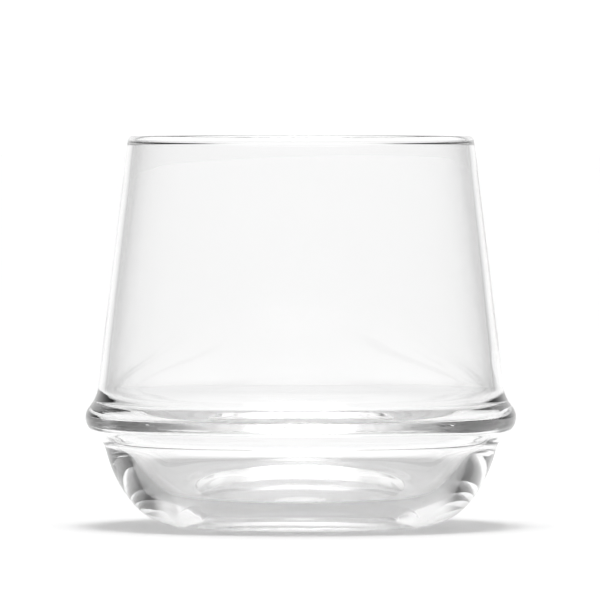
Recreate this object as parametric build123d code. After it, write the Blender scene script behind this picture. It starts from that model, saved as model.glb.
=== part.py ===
from build123d import *
import math
import os

# Whiskey tumbler of clear blown glass, all one piece: a thick rounded bowl, a hollow bead around the waist,
# and a thin wall that tapers in to a rounded rim. Millimetres, +Z up, origin at the centre of the foot on the
# table. The glass is one closed outline in the XZ half plane, turned about Z.

# Driving dimensions
HEIGHT = 86.0  # table to the top of the rim
FOOT_RADIUS = 25.9  # outer edge of the flat ring that the glass stands on
FOOT_RING_WIDTH = 2.0
FOOT_EDGE_RADIUS = 3.6  # rounding between the flat ring and the hollow underside
KICK_HEIGHT = 4.6  # rise of the hollow underside at the centre
FLOOR_EDGE_HEIGHT = 5.4  # inside floor above the table, where it turns up into the bowl
FLOOR_SLOPE = 5.1  # of the inside floor there, from which it domes up to level at the centre
RIM_RADIUS = 0.95  # fire-polished round bead of the lip, flush with the outside and proud inside
RIM_FILLET_RADIUS = 1.0  # hollow under that bead, on the inside
WALL_AT_RIM = 1.5  # thickness of the wall under the bead

# The outside, upwards from the foot: arc radii, and the lean outwards from upright where each arc ends
LOWER_BOWL_RADIUS = 14.83
UPPER_BOWL_RADIUS = 29.5
NECK_RADIUS = 6.95
BEAD_RADIUS = 3.94
SHOULDER_RADIUS = 7.8
LOWER_BOWL_LEAN = 38.4
UPPER_BOWL_LEAN = 14.0
BEAD_FLANK_LEAN = 55.2
BEAD_TOP_LEAN = -40.7
WALL_LEAN = -6.87

# The inside, downwards from the lip: the same, with the groove behind the bead
INNER_SHOULDER_RADIUS = 6.1
GROOVE_RADIUS = 2.6
INNER_NECK_RADIUS = 7.5
INNER_BOWL_RADIUS = 31.0
INNER_CORNER_RADIUS = 12.4
INNER_WALL_LEAN = -6.28
GROOVE_TOP_LEAN = -40.4
GROOVE_FLANK_LEAN = 52.8
INNER_NECK_LEAN = 18.8
INNER_BOWL_LEAN = 41.7

# Headings in the half plane: 0 is up, 90 is outwards
OUTWARDS = 90.0
INWARDS = -90.0


def step(distance, heading):
    angle = math.radians(heading)
    return Vector(distance * math.sin(angle), 0, distance * math.cos(angle))


def downwards(lean):
    """The heading of a line followed downwards, from its lean outwards when followed upwards."""
    return lean - 180.0


def total_rise(arcs, heading):
    """How far a chain of arcs goes up, starting at a heading."""
    rise = 0.0
    for radius, new_heading in arcs:
        change = math.sin(math.radians(new_heading)) - math.sin(math.radians(heading))
        rise += math.copysign(radius, new_heading - heading) * change
        heading = new_heading
    return rise


class Outline:
    """A chain of lines and arcs, each tangent to the last, drawn like a pen that keeps its heading."""

    def __init__(self, start, heading):
        self.point = start
        self.heading = heading
        self.edges = []

    def line_to(self, end):
        self.edges.append(Edge.make_line(self.point, end))
        self.point = end

    def line_to_height(self, height):
        length = (height - self.point.Z) / math.cos(math.radians(self.heading))
        self.line_to(self.point + step(length, self.heading))

    def arc(self, radius, new_heading):
        side = math.copysign(90.0, new_heading - self.heading)
        centre = self.point + step(radius, self.heading + side)
        middle = centre - step(radius, (self.heading + new_heading) / 2 + side)
        end = centre - step(radius, new_heading + side)
        self.edges.append(Edge.make_three_point_arc(self.point, middle, end))
        self.point = end
        self.heading = new_heading

    def arcs(self, radii_and_headings):
        for radius, heading in radii_and_headings:
            self.arc(radius, heading)


def add_underside(outline):
    """From the centre of the hollow underside out across the flat foot ring."""
    ring_inner_radius = FOOT_RADIUS - FOOT_RING_WIDTH
    turn = 2 * math.degrees(math.atan2(KICK_HEIGHT, ring_inner_radius))
    kick_radius = ring_inner_radius / math.sin(math.radians(turn)) - FOOT_EDGE_RADIUS
    outline.arc(kick_radius, OUTWARDS + turn)
    outline.arc(FOOT_EDGE_RADIUS, OUTWARDS)
    outline.line_to(Vector(FOOT_RADIUS, 0, 0))


def add_outside(outline):
    """Up the bowl, around the bead and up the tapered wall to the lip."""
    outline.arcs([
        (LOWER_BOWL_RADIUS, LOWER_BOWL_LEAN),
        (UPPER_BOWL_RADIUS, UPPER_BOWL_LEAN),
        (NECK_RADIUS, BEAD_FLANK_LEAN),
        (BEAD_RADIUS, BEAD_TOP_LEAN),
        (SHOULDER_RADIUS, WALL_LEAN),
    ])
    lip_rise = total_rise([(RIM_RADIUS, INWARDS)], WALL_LEAN)
    outline.line_to_height(HEIGHT - lip_rise)


def add_rim_bead(outline, wall_heading):
    """Over the round bead of the lip, and out through the hollow under it on to the inside wall."""
    overhang = 2 * RIM_RADIUS - WALL_AT_RIM
    turn_back = math.degrees(math.acos(1 - overhang / (RIM_RADIUS + RIM_FILLET_RADIUS)))
    outline.arc(RIM_RADIUS, wall_heading - turn_back)
    outline.arc(RIM_FILLET_RADIUS, wall_heading)


def add_inside(outline):
    """Over the lip, down the wall, behind the waist bead, round the bowl and over the domed floor."""
    wall_heading = downwards(INNER_WALL_LEAN)
    inner_arcs = [
        (INNER_SHOULDER_RADIUS, downwards(GROOVE_TOP_LEAN)),
        (GROOVE_RADIUS, downwards(GROOVE_FLANK_LEAN)),
        (INNER_NECK_RADIUS, downwards(INNER_NECK_LEAN)),
        (INNER_BOWL_RADIUS, downwards(INNER_BOWL_LEAN)),
        (INNER_CORNER_RADIUS, INWARDS + FLOOR_SLOPE),
    ]
    add_rim_bead(outline, wall_heading)
    outline.line_to_height(FLOOR_EDGE_HEIGHT - total_rise(inner_arcs, wall_heading))
    outline.arcs(inner_arcs)
    dome_radius = outline.point.X / math.sin(math.radians(FLOOR_SLOPE))
    outline.arc(dome_radius, INWARDS)


def make_tumbler():
    outline = Outline(Vector(0, 0, KICK_HEIGHT), OUTWARDS)
    add_underside(outline)
    add_outside(outline)
    add_inside(outline)
    outline.line_to(Vector(0, 0, KICK_HEIGHT))
    section = Face(Wire(outline.edges))
    return revolve(section, Axis.Z, 360)


os.makedirs("parts", exist_ok=True)
tumbler = make_tumbler()
tumbler.label = "tumbler"
export_step(tumbler, "parts/tumbler.step")
print("height", round(tumbler.bounding_box().size.Z, 3), "glass cm3", round(tumbler.volume / 1000, 1))
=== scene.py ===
import bpy
import math
import numpy as np
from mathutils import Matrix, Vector, noise


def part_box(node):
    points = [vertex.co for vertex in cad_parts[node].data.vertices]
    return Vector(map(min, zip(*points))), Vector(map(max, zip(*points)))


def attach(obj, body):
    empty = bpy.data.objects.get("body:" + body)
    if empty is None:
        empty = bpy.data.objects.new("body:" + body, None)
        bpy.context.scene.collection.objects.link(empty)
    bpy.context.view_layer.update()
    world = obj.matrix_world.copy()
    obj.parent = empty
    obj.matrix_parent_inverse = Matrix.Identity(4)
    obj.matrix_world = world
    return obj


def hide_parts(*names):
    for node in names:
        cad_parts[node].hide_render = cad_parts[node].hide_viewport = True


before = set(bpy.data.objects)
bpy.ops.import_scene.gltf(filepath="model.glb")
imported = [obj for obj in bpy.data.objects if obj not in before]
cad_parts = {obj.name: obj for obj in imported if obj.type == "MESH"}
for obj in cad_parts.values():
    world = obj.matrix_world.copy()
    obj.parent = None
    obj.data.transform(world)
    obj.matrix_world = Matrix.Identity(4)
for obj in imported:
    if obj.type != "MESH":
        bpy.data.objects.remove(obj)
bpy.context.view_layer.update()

# A whiskey tumbler of clear blown glass on a white table, with a white backdrop behind it, a round soft box
# above and dark studio to the sides. Metres and degrees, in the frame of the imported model.

MM = 0.001

# Glass
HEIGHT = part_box("tumbler")[1].z
SECTORS = 320  # around the axis
LARGEST_TURN = 2.4  # of the section, between two of its points
LONGEST_STEP = 1.6 * MM  # along the section
SEAM_TOLERANCE = 1e-7
STRAIGHT_CHORD = 12 * MM  # longer chords count as straight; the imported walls' are under 8 mm, so none do
OFF_CENTRE = 0.25 * MM  # how far the blown inside wanders from the mould's axis, at the floor
RIPPLE = 0.012 * MM  # unevenness of the blown inside
RIPPLE_SIZE = 16 * MM
LIP_BLEND = 8 * MM  # below the rim, over which the unevenness comes in
PEEL_SCALE = 90  # per metre
PEEL_DEPTH = 0.004 * MM
REFRACTIVE_INDEX = 1.51

# Table
TABLE = 12.0  # half its side
TABLE_GAP = 0.01 * MM  # keeps the foot's flat ring off the table top
TABLE_WHITE = 0.9
TABLE_ROUGHNESS = 0.8
TABLE_GLOSS = 0.2
PAINTED_FAR_GLOW = 0.37  # painted light: the table gives off light by itself away from the glass, standing for lamps out of the picture
FAR_GLOW_FROM = 0.12
FAR_GLOW_FULL = 0.45

# Studio light: brightness, then where each patch fades, in degrees up from the table or round from the back
BACKDROP = 0.98
BACKDROP_SIDES = (46, 18)
BACKDROP_TOP = (70, 25)
GAP = 0.1
GAP_FOOT = (8, 20)
GAP_SIDES = (110, 60)
CEILING = 0.8
CEILING_FOOT = (28, 58)
FRONT = 0.8
FRONT_FOOT = (9, 22)
FRONT_TOP = (60, 35)
FRONT_SIDES = (90, 150)
BEHIND = 1.1
SOFT_BOX_POWER = 1.9  # watts
SOFT_BOX_SIZE = 0.3
SOFT_BOX_HEIGHT = 0.55

# Camera
CAMERA_DISTANCE = 2.12
CAMERA_HEIGHT = 0.0963
AIM_HEIGHT = 0.0499
AIM_ACROSS = -0.19 * MM
VIEW_WIDTH = 0.1322  # of the picture, at the glass
SENSOR = 36.0
CLIP_END = 100.0
BOUNCES = 24


def cad_section(node):
    """The node's outline in the half plane of +X and +Z, as (radius, height), from underside to floor."""
    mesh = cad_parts[node].data
    seam = {}
    for vertex in mesh.vertices:
        if abs(vertex.co.y) < SEAM_TOLERANCE and vertex.co.x > -SEAM_TOLERANCE:
            seam[vertex.index] = (round(vertex.co.x, 7), round(vertex.co.z, 7))
    neighbours = {}
    for edge in mesh.edges:
        ends = {seam.get(i) for i in edge.vertices}
        if None in ends or len(ends) < 2:
            continue
        for end in ends:
            neighbours.setdefault(end, set()).update(ends - {end})
    point = min(neighbours)
    section = [point]
    while neighbours[point] - set(section):
        point = (neighbours[point] - set(section)).pop()
        section.append(point)
    if section[-1][0] > 0:
        section.append((0.0, section[-1][1]))
    return np.array(section)


def split_straight_stretches(section):
    """More points along the section's straight stretches, so that a curve through it keeps them straight."""
    points = [section[0]]
    for start, end in zip(section[:-1], section[1:]):
        length = np.linalg.norm(end - start)
        pieces = math.ceil(length / MM) if length > STRAIGHT_CHORD else 1
        points += [start + (end - start) * (i + 1) / pieces for i in range(pieces)]
    return np.array(points)


def smooth_section(section):
    """Close points on a cubic spline through the section, which meets the axis squarely at both ends.

    Where a wall is straight but not split first, the spline waves by up to 0.06 mm at its ends.
    """
    mirror = np.array([-1, 1])
    knots = np.concatenate([section[1:2] * mirror, section, section[-2:-1] * mirror])
    steps = np.linalg.norm(np.diff(knots, axis=0), axis=1)
    slopes = np.diff(knots, axis=0) / steps[:, None]
    system = np.eye(len(knots))
    right = np.zeros((len(knots), 2))
    for i in range(1, len(knots) - 1):
        system[i, i - 1:i + 2] = steps[i - 1], 2 * (steps[i - 1] + steps[i]), steps[i]
        right[i] = 6 * (slopes[i] - slopes[i - 1])
    bends = np.linalg.solve(system, right)
    points = []
    for i in range(1, len(knots) - 2):
        turn = math.degrees(np.linalg.norm(bends[i] + bends[i + 1]) / 2 * steps[i])
        pieces = max(1, math.ceil(turn / LARGEST_TURN), math.ceil(steps[i] / LONGEST_STEP))
        for share in np.arange(pieces) / pieces:
            rest = 1 - share
            bulge = (rest ** 3 - rest) * bends[i] + (share ** 3 - share) * bends[i + 1]
            points.append(rest * knots[i] + share * knots[i + 1] + bulge * steps[i] ** 2 / 6)
    points.append(section[-1])
    return np.array(points)


def lathe(name, section):
    """A closed mesh turned about Z from a section that starts and ends on the axis."""
    angles = 2 * math.pi * np.arange(SECTORS) / SECTORS
    rings = section[1:-1]
    points = np.empty((len(rings), SECTORS, 3))
    points[:, :, 0] = rings[:, :1] * np.cos(angles)
    points[:, :, 1] = rings[:, :1] * np.sin(angles)
    points[:, :, 2] = rings[:, 1:]
    bottom, top = len(rings) * SECTORS, len(rings) * SECTORS + 1
    last = (len(rings) - 1) * SECTORS
    faces = []
    for j in range(SECTORS):
        k = (j + 1) % SECTORS
        faces.append((bottom, k, j))
        faces.append((top, last + j, last + k))
        for low in range(0, last, SECTORS):
            high = low + SECTORS
            faces.append((low + j, low + k, high + k, high + j))
    vertices = points.reshape(-1, 3).tolist()
    vertices += [(0, 0, section[0][1]), (0, 0, section[-1][1])]
    mesh = bpy.data.meshes.new(name)
    mesh.from_pydata(vertices, [], faces)
    mesh.shade_smooth()
    piece = bpy.data.objects.new(name, mesh)
    bpy.context.scene.collection.objects.link(piece)
    return piece


def shift_inside(glass, first_ring):
    """Moves the inside, from that ring of the lathe onwards, a little: blown glass is never true there."""
    mesh = glass.data
    for vertex in mesh.vertices[first_ring * SECTORS:]:
        point = vertex.co
        if point.x == point.y == 0:
            continue
        out = Vector((point.x, point.y, 0)).normalized()
        below_lip = min(1.0, (HEIGHT - point.z) / LIP_BLEND)
        thicker = OFF_CENTRE * out.x * (HEIGHT - point.z) / HEIGHT
        ripple = RIPPLE * noise.noise(point / RIPPLE_SIZE)
        vertex.co -= out * below_lip * (thicker + ripple)


def new_material(name):
    """An empty node material, its nodes and its output."""
    material = bpy.data.materials.new(name)
    material.use_nodes = True
    tree = material.node_tree
    tree.nodes.clear()
    return material, tree, tree.nodes.new("ShaderNodeOutputMaterial")


def clear_glass():
    """Clear soda glass, fire-polished, with a barely visible orange peel in its surface."""
    material, tree, output = new_material("clear_glass")
    shader = tree.nodes.new("ShaderNodeBsdfPrincipled")
    shader.inputs["Base Color"].default_value = (1, 1, 1, 1)
    shader.inputs["Roughness"].default_value = 0
    shader.inputs["IOR"].default_value = REFRACTIVE_INDEX
    shader.inputs["Transmission Weight"].default_value = 1
    place = tree.nodes.new("ShaderNodeTexCoord")
    peel = tree.nodes.new("ShaderNodeTexNoise")
    peel.inputs["Scale"].default_value = PEEL_SCALE
    peel.inputs["Detail"].default_value = 1
    bump = tree.nodes.new("ShaderNodeBump")
    bump.inputs["Strength"].default_value = 1
    bump.inputs["Distance"].default_value = PEEL_DEPTH
    tree.links.new(place.outputs["Object"], peel.inputs["Vector"])
    tree.links.new(peel.outputs["Fac"], bump.inputs["Height"])
    tree.links.new(bump.outputs["Normal"], shader.inputs["Normal"])
    tree.links.new(shader.outputs["BSDF"], output.inputs["Surface"])
    return material


def make_glass():
    """The tumbler's visible glass, which stands for its CAD node."""
    section = smooth_section(split_straight_stretches(cad_section("tumbler")))
    section[:, 1] = np.clip(section[:, 1], 0, HEIGHT)
    glass = lathe("clear_glass_tumbler", section)
    shift_inside(glass, int(section[:, 1].argmax()))
    glass.data.materials.append(clear_glass())
    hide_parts("tumbler")
    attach(glass, "root")
    return glass


def make_table():
    """A matt white table top with painted light: it gives off light by itself, more the farther from the
    glass.
    """
    mesh = bpy.data.meshes.new("table_top")
    corners = [(-TABLE, -TABLE, 0), (TABLE, -TABLE, 0), (TABLE, TABLE, 0), (-TABLE, TABLE, 0)]
    mesh.from_pydata(corners, [], [(0, 1, 2, 3)])
    table = bpy.data.objects.new("table_top", mesh)
    table.location.z = -TABLE_GAP
    bpy.context.scene.collection.objects.link(table)
    material, tree, output = new_material("matt_white_painted_light")
    shader = tree.nodes.new("ShaderNodeBsdfPrincipled")
    shader.inputs["Base Color"].default_value = (*[TABLE_WHITE] * 3, 1)
    shader.inputs["Roughness"].default_value = TABLE_ROUGHNESS
    shader.inputs["Specular IOR Level"].default_value = TABLE_GLOSS
    shader.inputs["Emission Color"].default_value = (1, 1, 1, 1)
    place = tree.nodes.new("ShaderNodeTexCoord")
    distance = tree.nodes.new("ShaderNodeVectorMath")
    distance.operation = "LENGTH"
    # painted light: emission strength that rises with the distance from the glass
    painted_glow = tree.nodes.new("ShaderNodeMapRange")
    painted_glow.interpolation_type = "SMOOTHSTEP"
    for socket, value in zip(painted_glow.inputs[1:5], (FAR_GLOW_FROM, FAR_GLOW_FULL, 0, PAINTED_FAR_GLOW)):
        socket.default_value = value
    tree.links.new(place.outputs["Object"], distance.inputs[0])
    tree.links.new(distance.outputs["Value"], painted_glow.inputs[0])
    tree.links.new(painted_glow.outputs[0], shader.inputs["Emission Strength"])
    tree.links.new(shader.outputs["BSDF"], output.inputs["Surface"])
    mesh.materials.append(material)


class Sky:
    """Builds the studio's light as a function of direction, out of soft-edged patches."""

    def __init__(self):
        world = bpy.data.worlds.new("studio")
        world.use_nodes = True
        self.tree = world.node_tree
        self.tree.nodes.clear()
        place = self.tree.nodes.new("ShaderNodeTexCoord")
        axes = self.tree.nodes.new("ShaderNodeSeparateXYZ")
        self.tree.links.new(place.outputs["Generated"], axes.inputs["Vector"])
        across, back, up = axes.outputs
        self.height = self.math("DEGREES", self.math("ARCSINE", up))
        self.bearing = self.math("DEGREES", self.math("ARCTAN2", self.math("ABSOLUTE", across), back))
        bpy.context.scene.world = world

    def math(self, operation, *values):
        node = self.tree.nodes.new("ShaderNodeMath")
        node.operation = operation
        for socket, value in zip(node.inputs, values):
            if isinstance(value, bpy.types.NodeSocket):
                self.tree.links.new(value, socket)
            else:
                socket.default_value = value
        return node.outputs[0]

    def fade(self, angle, start, end):
        """0 up to the angle start and 1 from the angle end on, or the reverse if start is the larger."""
        node = self.tree.nodes.new("ShaderNodeMapRange")
        node.interpolation_type = "SMOOTHSTEP"
        low, high = min(start, end), max(start, end)
        values = (low, high, 0, 1) if start < end else (low, high, 1, 0)
        self.tree.links.new(angle, node.inputs[0])
        for socket, value in zip(node.inputs[1:5], values):
            socket.default_value = value
        return node.outputs[0]

    def patch(self, brightness, *fades):
        """That brightness where every fade is 1."""
        light = brightness
        for angle, start, end in fades:
            light = self.math("MULTIPLY", light, self.fade(angle, start, end))
        return light

    def total(self, patches):
        light = patches[0]
        for patch in patches[1:]:
            light = self.math("ADD", light, patch)
        return light

    def finish(self, light, behind):
        """Lights the scene with light, and shows the plain brightness behind to the camera."""
        shader = self.tree.nodes.new("ShaderNodeBackground")
        backdrop = self.tree.nodes.new("ShaderNodeBackground")
        backdrop.inputs["Strength"].default_value = behind
        for background in (shader, backdrop):
            background.inputs["Color"].default_value = (1, 1, 1, 1)
        mix = self.tree.nodes.new("ShaderNodeMixShader")
        path = self.tree.nodes.new("ShaderNodeLightPath")
        output = self.tree.nodes.new("ShaderNodeOutputWorld")
        self.tree.links.new(light, shader.inputs["Strength"])
        self.tree.links.new(path.outputs["Is Camera Ray"], mix.inputs[0])
        self.tree.links.new(shader.outputs[0], mix.inputs[1])
        self.tree.links.new(backdrop.outputs[0], mix.inputs[2])
        self.tree.links.new(mix.outputs[0], output.inputs["Surface"])


def light_studio():
    """A white backdrop, dim sides, a bright ceiling and front, and one soft box overhead."""
    sky = Sky()
    height, bearing = sky.height, sky.bearing
    backdrop = sky.patch(BACKDROP, (bearing, *BACKDROP_SIDES), (height, *BACKDROP_TOP))
    gap = sky.patch(GAP, (height, *GAP_FOOT), (bearing, *GAP_SIDES))
    ceiling = sky.patch(CEILING, (height, *CEILING_FOOT))
    front = sky.patch(FRONT, (height, *FRONT_FOOT), (height, *FRONT_TOP), (bearing, *FRONT_SIDES))
    sky.finish(sky.total([backdrop, gap, ceiling, front]), BEHIND)

    soft_box = bpy.data.lights.new("soft_box", "AREA")
    soft_box.shape = "DISK"
    soft_box.size = SOFT_BOX_SIZE
    soft_box.energy = SOFT_BOX_POWER
    holder = bpy.data.objects.new("soft_box", soft_box)
    holder.location.z = SOFT_BOX_HEIGHT
    bpy.context.scene.collection.objects.link(holder)


def place_camera():
    """A long lens slightly above the rim, looking a little down at the middle of the glass."""
    camera = bpy.data.cameras.new("camera")
    camera.sensor_width = SENSOR
    camera.lens = SENSOR * math.hypot(CAMERA_DISTANCE, CAMERA_HEIGHT - AIM_HEIGHT) / VIEW_WIDTH
    camera.clip_end = CLIP_END
    holder = bpy.data.objects.new("camera", camera)
    holder.location = (AIM_ACROSS, -CAMERA_DISTANCE, CAMERA_HEIGHT)
    aim = Vector((AIM_ACROSS, 0, AIM_HEIGHT))
    holder.rotation_euler = (aim - holder.location).to_track_quat("-Z", "Y").to_euler()
    bpy.context.scene.collection.objects.link(holder)
    bpy.context.scene.camera = holder


def set_picture():
    """Plain photographic colour, and enough bounces for light to cross all of the glass."""
    scene = bpy.context.scene
    scene.view_settings.view_transform = "Standard"
    scene.cycles.max_bounces = BOUNCES
    scene.cycles.transmission_bounces = BOUNCES
    scene.cycles.glossy_bounces = BOUNCES
    scene.cycles.sample_clamp_indirect = 0
    scene.cycles.use_denoising = True


make_glass()
make_table()
light_studio()
place_camera()
set_picture()
